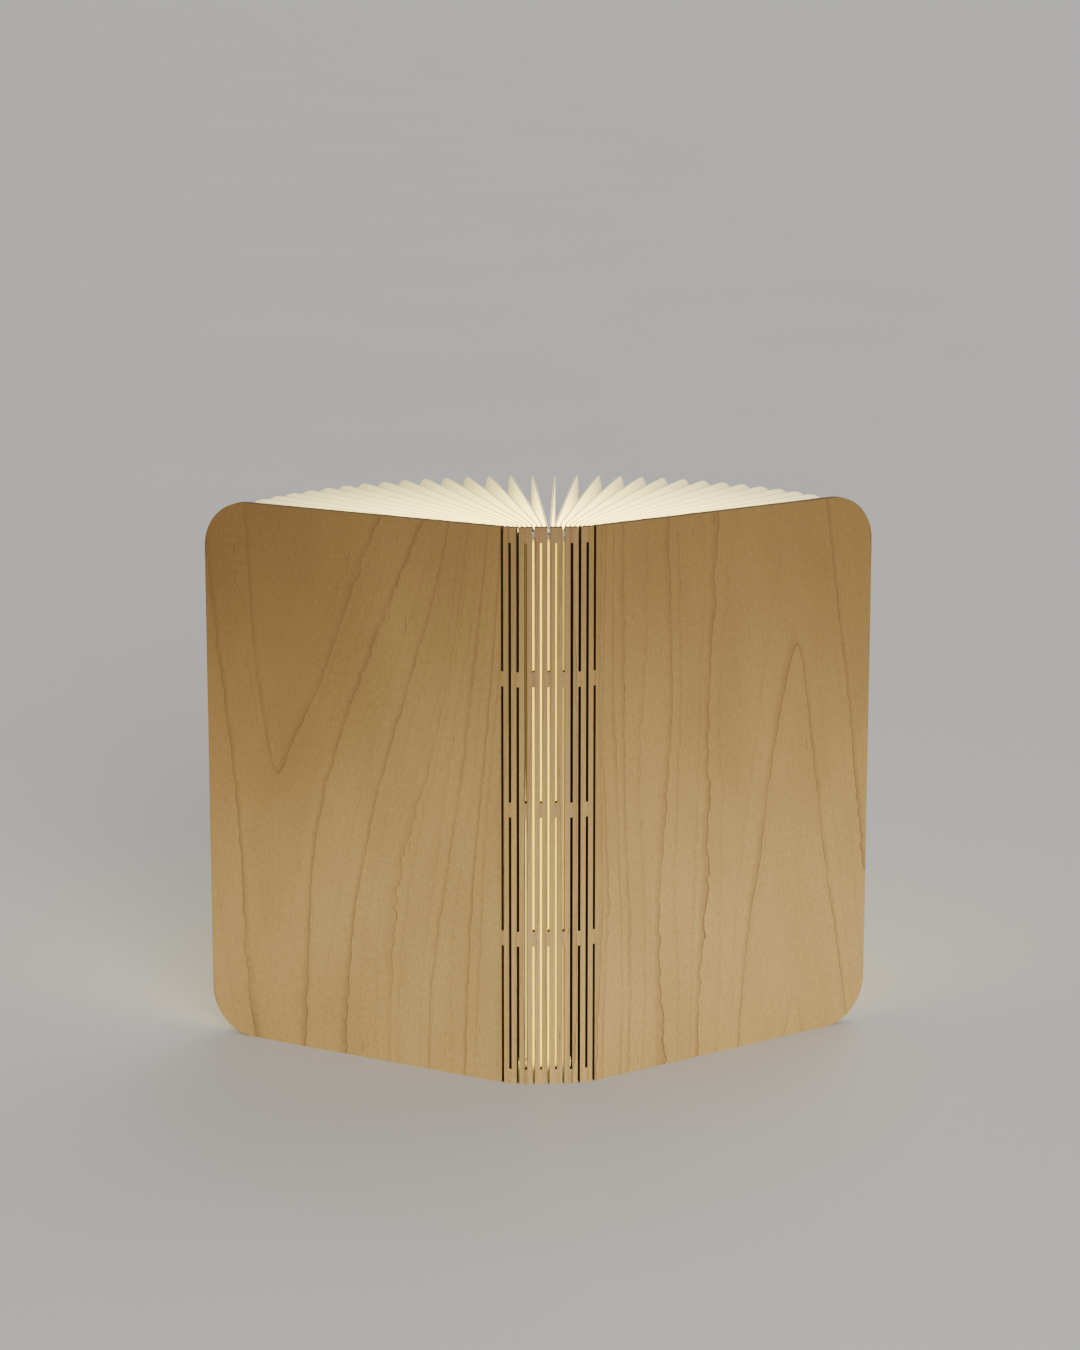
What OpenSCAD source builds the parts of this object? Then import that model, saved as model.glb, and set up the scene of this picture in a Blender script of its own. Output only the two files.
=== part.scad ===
// Folding book lamp, standing open on the bottom edges of its wood.
// One thin wood sheet makes both covers and the spine: rows of slots let the sheet bend on each side
// of the spine, and a folded paper block fans out between the covers in front of a light module.
// Origin: the middle of the spine's bottom edge, halfway through the wood.
// +X runs to the right along the spine's outside, +Y from the spine into the book, +Z up.

/* [Wood sheet] */
// Height of the covers and the spine
cover_h = 210; // [180:1:280]
// Width of a cover, from its hinge line to its free edge
panel_w = 126; // [100:1:170]
// Thickness of the wood
wood_t = 3; // [2.6:0.1:3.4]
// Radius of the covers' free corners
corner_r = 18; // [8:0.5:30]
// Turn of each cover out of the flat, opened sheet, as the lamp stands
cover_fold = 29; // [5:1:60]

/* [Slots] */
// Distance between neighbouring slot lines
slot_pitch = 2.75; // [2.65:0.05:3.2]
// Width of a slot
slot_w = 0.8; // [0.7:0.05:0.95]
// Height of a wood bridge between two slots
bridge_h = 5.6; // [4:0.2:8]
// Distance from mid height to the bridges of the lines that run out at both ends
bridge_offset = 49; // [35:1:70]
// Depth of the wood left on each side of a bridge's rounding
bridge_skin = 0.1; // [0.05:0.05:0.3]
// Running clearance round a bridge
bridge_gap = 0.08; // [0.05:0.01:0.1]

/* [Pages] */
// Number of page folds to the left of the middle one
left_fold_count = 16; // [8:1:16]
// Number of page folds to the right of the middle one
right_fold_count = 15; // [8:1:16]
// Thickness of the paper
paper_t = 0.2; // [0.14:0.02:0.24]
// Distance from the covers' ends to the pages
page_inset = 2; // [1:0.5:6]
// Distance from the covers' free edges to the page folds, with the book shut
page_reach_inset = 2.5; // [1.5:0.5:10]
// Radius of the pages' outer corners
page_corner_r = 12; // [4:0.5:20]
// Radius of the pages' corners beside the light module
page_root_r = 4; // [2:0.5:8]
// Gap between neighbouring page folds, with the book shut
page_gap = 0.08; // [0.06:0.01:0.12]
// Glue line between the last page fold and the end paper
last_page_gap = 0.1; // [0.05:0.05:0.3]
// Gap between the light module and the pages
page_root_gap = 0.6; // [0.4:0.1:0.9]

/* [End papers] */
// Thickness of the lining board on a cover's inside
end_paper_t = 0.4; // [0.3:0.05:0.45]
// Distance from a cover's edges to its lining board
end_paper_inset = 2.5; // [1:0.5:8]
// Distance from a cover's hinge line to its lining board
end_paper_start = 5; // [3:0.5:12]

/* [Magnets] */
// Diameter of a cover magnet
magnet_d = 10; // [6:0.5:14]
// Thickness of a cover magnet
magnet_t = 1.5; // [1:0.1:2]
// Clearance of a magnet in its pocket
magnet_gap = 0.1; // [0.05:0.05:0.2]
// Distance from a cover's free edge to the middle of its magnets
magnet_edge = 14; // [9:0.5:30]
// Distance from a cover's ends to the middle of its outer magnets
magnet_end = 26; // [20:1:60]

/* [Light housing] */
// Width of the housing
housing_w = 15; // [13:0.5:15.5]
// Depth of the housing
housing_d = 10.6; // [10:0.2:12]
// Wall of the housing
housing_wall = 1.2; // [1:0.1:1.4]
// Distance from the covers' ends to the light module
housing_inset = 4; // [3:0.5:12]
// Thickness of an end cap
cap_t = 2; // [1.5:0.25:3]
// Length of the tongue that an end cap slides into the housing
tongue_l = 8; // [5:0.5:12]
// Width of that tongue
tongue_w = 8; // [6:0.5:9.5]
// Assembly clearance inside the housing
fit_gap = 0.05; // [0.03:0.01:0.1]
// Thickness of the mounting tape
tape_t = 0.3; // [0.2:0.05:0.5]
// Width of a strip of mounting tape
tape_w = 1.5; // [1:0.1:1.6]

/* [Light] */
// Thickness of the diffuser
diffuser_t = 1; // [0.8:0.1:1.4]
// Height of the ledges that carry the metal rail, above the housing's floor
ledge_rise = 5.2; // [5:0.1:5.6]
// Thickness and width of a ledge
ledge_t = 0.6; // [0.4:0.1:0.7]
// Thickness of the metal rail
rail_t = 0.8; // [0.6:0.1:1]
// Distance from the top of the light module to the rail's end
rail_short = 10; // [8:0.5:16]
// Thickness of the light board
light_board_t = 0.8; // [0.6:0.1:1]
// Distance from the light board's edge to the housing's wall
light_board_side = 1.3; // [0.8:0.1:3]
// Number of light chips
chip_count = 14; // [4:1:20]
// Width of a light chip
chip_w = 2.8; // [2:0.1:3.5]
// Height of a light chip
chip_h = 3.5; // [2:0.1:4]
// Thickness of a light chip
chip_t = 0.7; // [0.5:0.1:0.8]

/* [Power] */
// Room beside a battery cell for a lead
cell_side = 0.8; // [0.75:0.05:2.3]
// Thickness of a battery cell
cell_t = 4.5; // [3:0.1:4.8]
// Height of a battery cell
cell_h = 60; // [40:1:68]
// Gap between a cell and the end cap or the control board next to it
cell_space = 4; // [3:0.5:8]
// Thickness of the control board
control_board_t = 1; // [0.8:0.1:1.2]
// Distance from the control board's edge to the housing's wall
control_board_side = 0.5; // [0.3:0.1:1.3]
// Height of the control board
control_board_h = 26; // [20:1:28]
// Distance from the housing's floor to the control board
control_board_rise = 2; // [1.6:0.1:2.2]
// Width of the charge socket
socket_w = 8.94; // [7:0.02:9]
// Thickness of the charge socket
socket_t = 3.16; // [2.5:0.02:3.2]
// Length of the charge socket
socket_l = 7.35; // [6:0.05:7.8]
// Wall of the charge socket's shell
socket_wall = 0.3; // [0.2:0.05:0.4]
// Diameter of a battery lead
lead_d = 0.7; // [0.5:0.05:0.7]
// Length of a lead that is soldered along the control board
lead_overlap = 13; // [4:1:15]

/* [Hidden] */
$fn = 96;
wood = [0.72, 0.58, 0.38];
paper = [0.95, 0.93, 0.85];
frosted = [0.96, 0.95, 0.9];
left = -1;
right = 1;
hinge_lines = 4;                     // slot lines that bend on each side of the spine
plate_lines = 3;                     // slot pitches from the spine's middle to its first bending line
overcut = 1;                         // how far a cut runs past the face that it opens

plate_half = plate_lines * slot_pitch;
knuckle_r = wood_t / 2 - bridge_skin;

// Place of bending line j (0 = nearest the spine's middle) on the right side, for a cover turned by fold
function hinge_at(j, fold = cover_fold) = j == 0 ? [plate_half, 0]
    : hinge_at(j - 1, fold) + slot_pitch * [cos(fold * j / hinge_lines), sin(fold * j / hinge_lines)];
// Turn of wood strip j, or of the cover where j is hinge_lines
function turn(j) = cover_fold * j / hinge_lines;
// Lines next to the middle and every second one from it keep their end bridges
function closed_ends(line) = abs(line) % 2 == 1;
function bridge_bottoms(line) = closed_ends(line)
    ? [0, (cover_h - bridge_h) / 2, cover_h - bridge_h]
    : [cover_h / 2 - bridge_offset - bridge_h / 2, cover_h / 2 + bridge_offset - bridge_h / 2];
// Stretches of one slot line that are cut through the wood
function slot_spans(line) = let (b = bridge_bottoms(line),
        edges = closed_ends(line) ? b : concat([-bridge_h - overcut], b, [cover_h + overcut]))
    [for (i = [0 : len(edges) - 2]) [edges[i] + bridge_h, edges[i + 1]]];

closed_hinge = hinge_at(hinge_lines - 1, 90);
closed_room = closed_hinge.x - wood_t / 2 - end_paper_t - last_page_gap;
// The middle fold stands over the spine, and fold k of a side turns k steps with that side's cover
fold_steps = max(left_fold_count, right_fold_count);
page_pitch = (closed_room + page_gap / 2) / (fold_steps + 0.5);
leaf_w = page_pitch - page_gap;
// Bending line that page fold k turns about
function fold_line(k) = min(hinge_lines - 1, floor(hinge_lines * k / fold_steps));

module_back = wood_t / 2 + tape_t;
module_front = module_back + housing_d;
module_h = cover_h - 2 * housing_inset;
module_top = cover_h - housing_inset;
floor_y = module_back + housing_wall;
cavity_w = housing_w - 2 * housing_wall;
light_board_w = cavity_w - 2 * light_board_side;
cell_w = cavity_w - 2 * cell_side;
control_board_w = cavity_w - 2 * control_board_side;
page_root = module_front + page_root_gap;
page_tip = closed_hinge.y + panel_w - page_reach_inset;
page_h = cover_h - 2 * page_inset;
page_l = page_tip - page_root;

ledge_y = floor_y + ledge_rise - ledge_t;
rail_y = floor_y + ledge_rise;
light_board_y = rail_y + rail_t;
chip_y = light_board_y + light_board_t;
rail_h = module_h - rail_short - cap_t;
control_y = floor_y + control_board_rise;
control_top = module_top - cap_t - fit_gap;
control_low = control_top - control_board_h;
socket_y = control_y + control_board_t + socket_t / 2;

// ---- Placing ----

// Children are drawn for the right side, and mirrored for the left one
module on_side(side) {
    if (side == left) mirror([1, 0, 0]) children();
    else children();
}

// Frame of strip j, or of the cover where j is hinge_lines: its inner bending line, +X outward
module on_strip(side, j) {
    start = hinge_at(j - 1);
    on_side(side) translate([start.x, start.y, 0]) rotate([0, 0, turn(j)]) children();
}

module on_cover(side) on_strip(side, hinge_lines) children();

// Frame of page fold k: the page's middle plane is x = 0, and y is what it is in the shut book
module on_leaf(side, k) {
    axis = hinge_at(fold_line(k));
    shut_axis = hinge_at(fold_line(k), 90);
    spread = (90 - cover_fold) * k / fold_steps;
    on_side(side) translate([axis.x, axis.y, 0]) rotate([0, 0, -spread])
        translate([k * page_pitch - shut_axis.x, -shut_axis.y, 0]) children();
}

// ---- Shared shapes ----

// Sheet outline: length along x, height along y, rounded at its far and near corners
module sheet_outline(length, height, far_r, near_r = 0) {
    translate([near_r, 0]) square([length - near_r - far_r, height]);
    translate([0, near_r]) square([length - far_r, height - 2 * near_r]);
    translate([near_r, far_r]) square([length - near_r, height - 2 * far_r]);
    for (y = [far_r, height - far_r]) translate([length - far_r, y]) circle(far_r);
    if (near_r > 0) for (y = [near_r, height - near_r]) translate([near_r, y]) circle(near_r);
}

// Outline drawn in x and y, stood up in x and z with its thickness from y = 0 towards +y
module stand_up(thickness) {
    translate([0, thickness, 0]) rotate([90, 0, 0]) linear_extrude(thickness) children();
}

module box_between(x, y, z) {
    translate([x[0], y[0], z[0]]) cube([x[1] - x[0], y[1] - y[0], z[1] - z[0]]);
}

// Rounded bridges that stand out of a wood edge, centred on a bending line at x
module knuckles(x, line) {
    for (z = bridge_bottoms(line)) translate([x, 0, z]) cylinder(r = knuckle_r, h = bridge_h);
}

// Rounded recesses that such bridges turn in, centred on the bending line at x = 0
module knuckle_room(line) {
    for (z = bridge_bottoms(line)) translate([0, 0, z - bridge_gap])
        cylinder(r = knuckle_r + bridge_gap, h = bridge_h + 2 * bridge_gap);
}

// Flat oblong with round ends, across x and y, standing along z
module oblong(width, thickness, height) {
    for (side = [left, right]) translate([side * (width - thickness) / 2, 0, 0])
        cylinder(d = thickness, h = height);
    translate([(thickness - width) / 2, -thickness / 2, 0]) cube([width - thickness, thickness, height]);
}

// ---- Wood ----

module spine_plate() color(wood) {
    half = plate_half - slot_w / 2;
    difference() {
        box_between([-half, half], [-wood_t / 2, wood_t / 2], [0, cover_h]);
        for (line = [1 - plate_lines : plate_lines - 1]) for (span = slot_spans(line))
            box_between([line * slot_pitch - slot_w / 2, line * slot_pitch + slot_w / 2],
                        [-wood_t, wood_t], span);
    }
    for (side = [left, right]) knuckles(side * plate_half, plate_lines);
}

module strip(side, j) color(wood) on_strip(side, j) {
    difference() {
        box_between([slot_w / 2, slot_pitch - slot_w / 2], [-wood_t / 2, wood_t / 2], [0, cover_h]);
        knuckle_room(plate_lines + j - 1);
    }
    knuckles(slot_pitch, plate_lines + j);
}

module cover(side) color(wood) on_cover(side) difference() {
    translate([slot_w / 2, -wood_t / 2, 0]) stand_up(wood_t)
        sheet_outline(panel_w - slot_w / 2, cover_h, corner_r);
    knuckle_room(plate_lines + hinge_lines - 1);
    at_magnets() cylinder(d = magnet_d + 2 * magnet_gap, h = magnet_t + magnet_gap + overcut);
}

// ---- Cover fittings ----

// Children stand on the pocket floors of one cover, with z towards the inside of the book
module at_magnets() {
    pocket_floor = wood_t / 2 - magnet_t - magnet_gap;
    for (z = [magnet_end, cover_h / 2, cover_h - magnet_end])
        translate([panel_w - magnet_edge, pocket_floor, z]) rotate([-90, 0, 0]) children();
}

module magnets(side) color([0.7, 0.7, 0.72]) on_cover(side) at_magnets() cylinder(d = magnet_d, h = magnet_t);

module end_paper(side) color(paper) on_cover(side)
    translate([end_paper_start, wood_t / 2, end_paper_inset]) stand_up(end_paper_t)
        sheet_outline(panel_w - end_paper_start - end_paper_inset, cover_h - 2 * end_paper_inset,
                      corner_r - end_paper_inset);

// ---- Pages ----

// One page fold: two plies that meet at the outer fold and stand a little apart at the root
module page_fold() color(paper) intersection() {
    translate([0, 0, page_inset]) linear_extrude(page_h) polygon([
        [-leaf_w / 2, page_root], [paper_t - leaf_w / 2, page_root], [0, page_tip - paper_t],
        [leaf_w / 2 - paper_t, page_root], [leaf_w / 2, page_root],
        [paper_t, page_tip], [-paper_t, page_tip]]);
    translate([-leaf_w, page_root, page_inset]) rotate([90, 0, 90]) linear_extrude(2 * leaf_w)
        sheet_outline(page_l, page_h, page_corner_r, page_root_r);
}

module leaf(side, k) on_leaf(side, k) page_fold();

// ---- Light module ----

module light_housing() color(frosted) {
    z = [housing_inset + cap_t, module_top - cap_t];
    difference() {
        box_between([-housing_w / 2, housing_w / 2], [module_back, module_front], z);
        box_between([-cavity_w / 2, cavity_w / 2], [floor_y, module_front + overcut],
                    [z[0] - overcut, z[1] + overcut]);
    }
    on_both_walls() box_between([cavity_w / 2 - ledge_t, cavity_w / 2], [ledge_y, rail_y], [z[0], z[1] - rail_short]);
}

module on_both_walls() for (side = [left, right]) on_side(side) children();

// Two strips that run beside the glowing slots, between the spine and the housing
module mounting_tape() color([0.85, 0.85, 0.85]) on_both_walls()
    translate([plate_half - slot_w - tape_w, wood_t / 2, housing_inset + cap_t])
        cube([tape_w, tape_t, module_h - 2 * cap_t]);

module metal_rail() color("silver") {
    half = cavity_w / 2 - fit_gap;
    box_between([-half, half], [rail_y, rail_y + rail_t], [housing_inset + cap_t, housing_inset + cap_t + rail_h]);
}

module light_board() color([0.92, 0.93, 0.95])
    translate([-light_board_w / 2, light_board_y, housing_inset + cap_t + fit_gap])
        cube([light_board_w, light_board_t, rail_h - 2 * fit_gap]);

module light_chips() color([1, 0.92, 0.6]) {
    step = rail_h / chip_count;
    for (i = [0 : chip_count - 1])
        translate([-chip_w / 2, chip_y, housing_inset + cap_t + (i + 0.5) * step - chip_h / 2])
            cube([chip_w, chip_t, chip_h]);
}

module diffuser() color(frosted) {
    half = cavity_w / 2 - fit_gap;
    box_between([-half, half], [module_front - diffuser_t, module_front],
                [housing_inset + cap_t, module_top - cap_t]);
}

// End plate of the housing, with the tongue that slides in under the control board
module cap_shape() {
    translate([-housing_w / 2, module_back, 0]) cube([housing_w, housing_d, cap_t]);
    translate([-tongue_w / 2, floor_y + fit_gap, -tongue_l])
        cube([tongue_w, control_board_rise - 2 * fit_gap, tongue_l + cap_t / 2]);
}

module top_cap() color(frosted) translate([0, 0, module_top - cap_t]) difference() {
    cap_shape();
    translate([0, socket_y, -overcut])
        oblong(socket_w + 2 * fit_gap, socket_t + 2 * fit_gap, cap_t + 2 * overcut);
}

// The bottom cap faces down: the same plate and tongue, turned over
module bottom_cap() color(frosted) translate([0, 0, housing_inset + cap_t]) mirror([0, 0, 1]) cap_shape();

// ---- Power ----

module cell(bottom) color([0.75, 0.78, 0.82])
    translate([-cell_w / 2, floor_y, bottom]) cube([cell_w, cell_t, cell_h]);

module lower_cell() cell(housing_inset + cap_t + tongue_l + cell_space);

module upper_cell() cell(control_low - cell_space - cell_h);

module battery_leads() color([0.7, 0.15, 0.12]) {
    bottom = housing_inset + cap_t + tongue_l + 2 * cell_space;
    for (side = [left, right])
        translate([side * (cavity_w / 2 - lead_d / 2 - fit_gap), floor_y + lead_d / 2 + fit_gap, bottom])
            cylinder(d = lead_d, h = control_low + lead_overlap - bottom, $fn = 24);
}

module control_board() color([0.1, 0.35, 0.2]) {
    box_between([-control_board_w / 2, control_board_w / 2], [control_y, control_y + control_board_t],
                [control_low, control_top]);
    for (chip = [[-3, 5, 4], [2, 4, 3], [-2.5, 12, 3], [3, 12, 2]])
        translate([chip[0], control_y + control_board_t - fit_gap, control_low + chip[1]])
            rotate([-90, 0, 0]) translate([-chip[2] / 2, -chip[2] / 2, 0]) cube([chip[2], chip[2], 1.2]);
}

module charge_socket() color("silver") translate([0, socket_y, module_top - socket_l]) {
    difference() {
        oblong(socket_w, socket_t, socket_l);
        translate([0, 0, socket_wall])
            oblong(socket_w - 2 * socket_wall, socket_t - 2 * socket_wall, socket_l);
    }
    translate([0, 0, socket_l / 2 - 1]) cube([socket_w - socket_t + 1, 0.7, socket_l - 2.5], center = true);
}

// Small sensor that lights the lamp when the cover magnets move away
module opening_sensor() color([0.15, 0.15, 0.16])
    translate([-control_board_w / 2, control_y + control_board_t, control_top - control_board_h / 2])
        cube([1.5, 1, 3]);

// ---- Pieces ----

spine_plate();
for (j = [1 : hinge_lines - 1]) {
    strip(left, j);
    strip(right, j);
}
cover(left);  // left_cover
cover(right);  // right_cover
for (k = [1 : left_fold_count]) leaf(left, k);
for (k = [1 : right_fold_count]) leaf(right, k);
page_fold();  // centre_leaf
end_paper(left);  // left_end_paper
end_paper(right);  // right_end_paper
magnets(left);  // left_magnets
magnets(right);  // right_magnets
light_housing();
mounting_tape();
metal_rail();
light_board();
light_chips();
diffuser();
top_cap();
bottom_cap();
lower_cell();
upper_cell();
battery_leads();
control_board();
charge_socket();
opening_sensor();
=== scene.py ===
import bmesh
import bpy
import math
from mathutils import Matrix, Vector


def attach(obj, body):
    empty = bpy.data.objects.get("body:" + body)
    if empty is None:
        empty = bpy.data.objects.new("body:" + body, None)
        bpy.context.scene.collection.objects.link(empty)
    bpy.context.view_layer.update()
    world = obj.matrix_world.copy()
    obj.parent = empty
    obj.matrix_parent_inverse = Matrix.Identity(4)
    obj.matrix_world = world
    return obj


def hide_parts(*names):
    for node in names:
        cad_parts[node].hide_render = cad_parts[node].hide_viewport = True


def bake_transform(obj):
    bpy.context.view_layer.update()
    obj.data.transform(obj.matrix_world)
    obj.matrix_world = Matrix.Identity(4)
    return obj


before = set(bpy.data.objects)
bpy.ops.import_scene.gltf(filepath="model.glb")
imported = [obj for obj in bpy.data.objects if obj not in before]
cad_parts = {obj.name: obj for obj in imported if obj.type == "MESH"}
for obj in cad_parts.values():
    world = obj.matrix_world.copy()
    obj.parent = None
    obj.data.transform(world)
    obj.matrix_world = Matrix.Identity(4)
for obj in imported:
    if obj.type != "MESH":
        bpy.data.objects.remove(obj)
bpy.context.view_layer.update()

mm = 0.001

# Lengths are in millimetres and angles in degrees until a mesh is made. Shaders measure in
# metres, apart from the place on the flat sheet, which is in millimetres.

cameraView = {
    "place": (-56.0, -1058.5, 415.2),  # in the lamp's own frame
    "heading": 2.861,   # to the right of the lamp's own depth axis
    "pitch": 9.965,     # down
    "film": 36,         # the long side
    "lens": 80.11,
    "shift": -0.148,    # the photograph's frame lies below the lens axis
    "clipEnd": 200,     # metres
}


def makeCamera(view):
    data = bpy.data.cameras.new("camera")
    data.sensor_fit = "AUTO"
    data.sensor_width = view["film"]
    data.lens = view["lens"]
    data.shift_y = view["shift"]
    data.clip_end = view["clipEnd"]
    camera = bpy.data.objects.new("camera", data)
    camera.location = Vector(view["place"]) * mm
    camera.rotation_euler = (math.radians(90 - view["pitch"]), 0, math.radians(-view["heading"]))
    bpy.context.scene.collection.objects.link(camera)
    bpy.context.scene.camera = camera


makeCamera(cameraView)
print("camera placed")


lamp = {
    "midHeight": 105.0,
    "slotPitch": 2.75,      # between hinge lines
    "firstLine": 8.25,      # the first line that bends, from the middle
    "hingeLines": 4,
    "coverFold": 29,        # each cover, out of the spine's plane
    "shutFold": 90,
    "pagePitch": 0.71683,   # between shut leaves
    "foldSteps": 16,        # leaves on a side
    "pageRoot": 13.0,
    "pageTip": 129.04,
    "pageLow": 2.0,
    "pageHigh": 208.0,
    "tipRadius": 12.0,
    "rootRadius": 4.0,
}
creaseAngle = 50            # edges sharper than this are eased, or drawn sharp


def turned(point, degrees):
    angle = math.radians(degrees)
    return Vector((
        point[0] * math.cos(angle) - point[1] * math.sin(angle),
        point[0] * math.sin(angle) + point[1] * math.cos(angle)))


def hingeAt(line, fold=lamp["coverFold"]):
    place = Vector((lamp["firstLine"], 0))
    for step in range(1, line + 1):
        place += turned((lamp["slotPitch"], 0), fold * step / lamp["hingeLines"])
    return place


def foldLine(leaf):
    return min(lamp["hingeLines"] - 1, lamp["hingeLines"] * leaf // lamp["foldSteps"])


# how far a leaf, or the plane between two, has opened from the middle one
def openedBy(leaf):
    return (lamp["shutFold"] - lamp["coverFold"]) * leaf / lamp["foldSteps"]


# a point of a leaf on the right: across its thickness, and its reach from the spine
def leafPoint(leaf, across, reach):
    line = foldLine(leaf)
    shut = Vector((leaf * lamp["pagePitch"] + across, reach)) - hingeAt(line, lamp["shutFold"])
    return hingeAt(line) + turned(shut, -openedBy(leaf))


# the height that a rounded page loses at each end, at this reach
def cornerLoss(reach):
    fromTip = reach - (lamp["pageTip"] - lamp["tipRadius"])
    fromRoot = lamp["pageRoot"] + lamp["rootRadius"] - reach
    loss = 0
    for past, radius in ((fromTip, lamp["tipRadius"]), (fromRoot, lamp["rootRadius"])):
        if past > 0:
            past = min(past, radius)
            loss = max(loss, radius - math.sqrt(radius * radius - past * past))
    return loss


def leafBody(side, leaf):
    perLine = lamp["foldSteps"] // lamp["hingeLines"]
    if leaf == 0:
        return "root"
    if leaf == lamp["foldSteps"]:
        return side + "_cover"
    if leaf % perLine == 0:
        return "%s_strip_%d" % (side, leaf // perLine)
    return "%s_leaf_%d" % (side, leaf)


def newNode(tree, kind, inputs=None, **settings):
    made = tree.nodes.new(kind)
    for name, value in settings.items():
        setattr(made, name, value)
    for name, value in (inputs or {}).items():
        plug(tree, value, made.inputs[name])
    return made


def plug(tree, value, socket):
    if isinstance(value, bpy.types.NodeSocket):
        tree.links.new(value, socket)
    else:
        socket.default_value = value


def maths(tree, operation, *values):
    made = tree.nodes.new("ShaderNodeMath")
    made.operation = operation
    for socket, value in zip(made.inputs, values):
        plug(tree, value, socket)
    return made.outputs[0]


def plus(tree, first, second):
    return maths(tree, "ADD", first, second)


def less(tree, first, second):
    return maths(tree, "SUBTRACT", first, second)


def times(tree, first, *others):
    for other in others:
        first = maths(tree, "MULTIPLY", first, other)
    return first


# from nothing at the band's first number to full at its second
def spread(tree, value, band, toLow=0.0, toHigh=1.0, smooth=True):
    made = tree.nodes.new("ShaderNodeMapRange")
    made.interpolation_type = "SMOOTHSTEP" if smooth else "LINEAR"
    for name, number in (("Value", value), ("From Min", band[0]), ("From Max", band[1]),
                         ("To Min", toLow), ("To Max", toHigh)):
        plug(tree, number, made.inputs[name])
    return made.outputs["Result"]


def blendColour(tree, mask, first, second, mode="MIX"):
    made = tree.nodes.new("ShaderNodeMix")
    made.data_type = "RGBA"
    made.blend_type = mode
    for index, value in ((0, mask), (6, first), (7, second)):   # its sockets for colours
        plug(tree, value, made.inputs[index])
    return made.outputs[2]


def noise(tree, vector, scale, detail=3.0, roughness=0.55):
    return newNode(tree, "ShaderNodeTexNoise", {
        "Vector": vector, "Scale": scale, "Detail": detail, "Roughness": roughness}).outputs["Fac"]


def joined(tree, x, y, z=0.0):
    return newNode(tree, "ShaderNodeCombineXYZ", {"X": x, "Y": y, "Z": z}).outputs[0]


def parted(tree, vector):
    return newNode(tree, "ShaderNodeSeparateXYZ", {"Vector": vector}).outputs


def objectPlace(tree):
    return newNode(tree, "ShaderNodeTexCoord").outputs["Object"]


def inMillimetres(tree, vector):
    perMetre = 1000
    return newNode(tree, "ShaderNodeVectorMath", {0: vector, 1: (perMetre,) * 3},
                   operation="MULTIPLY").outputs[0]


def sheetPlace(tree):
    # the UV map holds metres on the flat sheet
    return inMillimetres(tree, newNode(tree, "ShaderNodeUVMap", uv_map="sheet").outputs[0])


def newGroup(name, inputs, outputs):
    tree = bpy.data.node_groups.new(name, "ShaderNodeTree")
    for label, kind, value in inputs:
        socket = tree.interface.new_socket(label, in_out="INPUT", socket_type=kind)
        socket.default_value = value
    for label, kind in outputs:
        tree.interface.new_socket(label, in_out="OUTPUT", socket_type=kind)
    return tree, tree.nodes.new("NodeGroupInput").outputs, tree.nodes.new("NodeGroupOutput").inputs


def useGroup(tree, group, inputs):
    made = tree.nodes.new("ShaderNodeGroup")
    made.node_tree = group
    for name, value in inputs.items():
        plug(tree, value, made.inputs[name])
    return made.outputs


def newMaterial(name):
    material = bpy.data.materials.new(name)
    material.use_nodes = True
    tree = material.node_tree
    shader = next(node for node in tree.nodes if node.type == "BSDF_PRINCIPLED")
    return material, tree, shader


def bumped(tree, shader, height, distance, strength):
    made = newNode(tree, "ShaderNodeBump", {
        "Strength": strength, "Distance": distance, "Height": height})
    tree.links.new(made.outputs[0], shader.inputs["Normal"])


# a material that takes its colour, roughness and bump from a shared group
def groupMaterial(name, group, placeOf, look, bump):
    material, tree, shader = newMaterial(name)
    inputs = {placeOf[0]: placeOf[1](tree)} if placeOf else {}
    made = useGroup(tree, group, {**inputs, **look})
    plug(tree, made["Color"], shader.inputs["Base Color"])
    plug(tree, made["Roughness"], shader.inputs["Roughness"])
    bumped(tree, shader, made["Height"], *bump)
    return material, tree, shader


colour, value, vector = "NodeSocketColor", "NodeSocketFloat", "NodeSocketVector"
surface = [("Color", colour), ("Roughness", value), ("Height", value)]
black = (0, 0, 0, 1)


woodLook = {
    "pale": (0.65, 0.43, 0.138, 1),
    "warm": (0.34, 0.20, 0.045, 1),
    "bright": (0.74, 0.53, 0.21, 1),
    "line": (0.135, 0.044, 0.010, 1),
    "lineStrength": 0.9,
    "paintedTopShade": (0.47, 0.425, 0.33, 1),     # painted shade: the boards are darker towards the top
    "topBand": (20.0, 225.0),
    "paintedOuterShade": (0.80, 0.73, 0.62, 1),      # painted shade: darker towards their outer edges, the left one more
    "leftBand": (-45.0, -125.0),
    "rightBand": (5.0, 25.0),               # nearly all of the right cover
    "rightShare": 0.3,
    "rightEdgeBand": (70.0, 135.0),
    "rightEdgeShare": 0.5,
    "lowBand": (60.0, 120.0),               # less of it lower down
    "lowShare": 0.35,
    "fibreBand": (0.3, 0.7),
    "roughness": (0.46, 0.6),
    "fibreHeight": 0.35,
    "lineDepth": 0.65,
    "coat": 0.12,
    "coatRoughness": 0.35,
    "bump": (0.00012, 0.6),                 # metres, strength
}

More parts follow.
